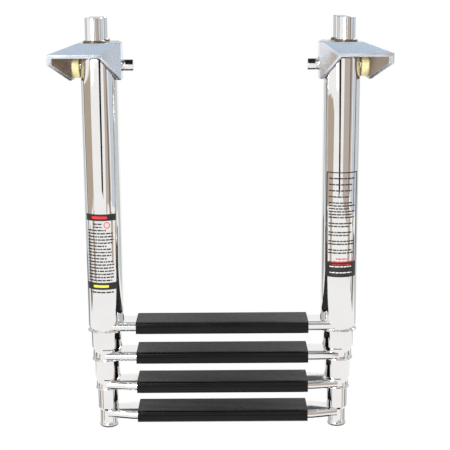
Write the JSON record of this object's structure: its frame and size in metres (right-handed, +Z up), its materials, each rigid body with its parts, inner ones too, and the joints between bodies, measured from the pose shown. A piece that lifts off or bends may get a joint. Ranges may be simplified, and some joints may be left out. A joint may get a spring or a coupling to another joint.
{
  "type": "boat boarding ladder",
  "caption": "Telescoping stainless boarding ladder with black treads on two side tubes, hinged in hooded brackets with deck studs.",
  "frame": {"origin": "centre of the four deck studs, on the plane of the collars that they stand on", "axes": "+X across the ladder to its right as seen from the water, +Y under the deck away from the person climbing, +Z up along the studs"},
  "size_m": [0.404, 0.0877, 0.5085],
  "materials": {
    "bracket_steel": "mirror-polished stainless steel",
    "stud_steel": "mirror-polished stainless steel",
    "fastener_steel": "bright stainless fastener",
    "cream_nylon": "cream nylon",
    "tube_steel": "mirror-polished stainless tube",
    "white_nylon": "white nylon",
    "foot_plastic": "grey moulded plastic",
    "label_film": "printed film",
    "step_steel": "mirror-polished stainless steel",
    "tread_plastic": "black moulded plastic, satin"
  },
  "bodies": {
    "brackets": {"hood_left": "bracket_steel", "hood_right": "bracket_steel", "front_stud_left": "stud_steel", "front_stud_right": "stud_steel", "rear_stud_left": "stud_steel", "rear_stud_right": "stud_steel", "hinge_bolt_left": "fastener_steel", "hinge_bolt_right": "fastener_steel", "hinge_nut_left": "fastener_steel", "hinge_nut_right": "fastener_steel", "bolt_washers_left": "fastener_steel", "bolt_washers_right": "fastener_steel", "hinge_spacer_left": "cream_nylon", "hinge_spacer_right": "cream_nylon", "thin_washer_left": "cream_nylon", "thin_washer_right": "cream_nylon"},
    "outer_section": {"outer_tube_left": "tube_steel", "outer_tube_right": "tube_steel", "pivot_sleeve_left": "fastener_steel", "pivot_sleeve_right": "fastener_steel", "label_left": "label_film", "label_right": "label_film", "step_bar_1": "step_steel", "tread_1": "tread_plastic"},
    "second_section": {"second_tube_left": "tube_steel", "second_tube_right": "tube_steel", "second_guide_left": "white_nylon", "second_guide_right": "white_nylon", "step_bar_2": "step_steel", "tread_2": "tread_plastic"},
    "third_section": {"third_tube_left": "tube_steel", "third_tube_right": "tube_steel", "third_guide_left": "white_nylon", "third_guide_right": "white_nylon", "step_bar_3": "step_steel", "tread_3": "tread_plastic"},
    "fourth_section": {"fourth_tube_left": "tube_steel", "fourth_tube_right": "tube_steel", "fourth_guide_left": "white_nylon", "fourth_guide_right": "white_nylon", "foot_left": "foot_plastic", "foot_right": "foot_plastic", "step_bar_4": "step_steel", "tread_4": "tread_plastic"}
  },
  "joints": [
    {"name": "ladder_hinge", "type": "hinge", "parent": "brackets", "child": "outer_section", "pos_m": [0, -0.023, -0.029], "axis": [1, 0, 0], "range_deg": [0, 90]},
    {"name": "second_slide", "type": "slide", "parent": "outer_section", "child": "second_section", "axis": [0, 0, -1], "range_m": [0, 0.225]},
    {"name": "third_slide", "type": "slide", "parent": "second_section", "child": "third_section", "axis": [0, 0, -1], "range_m": [0, 0.225]},
    {"name": "fourth_slide", "type": "slide", "parent": "third_section", "child": "fourth_section", "axis": [0, 0, -1], "range_m": [0, 0.225]}
  ]
}
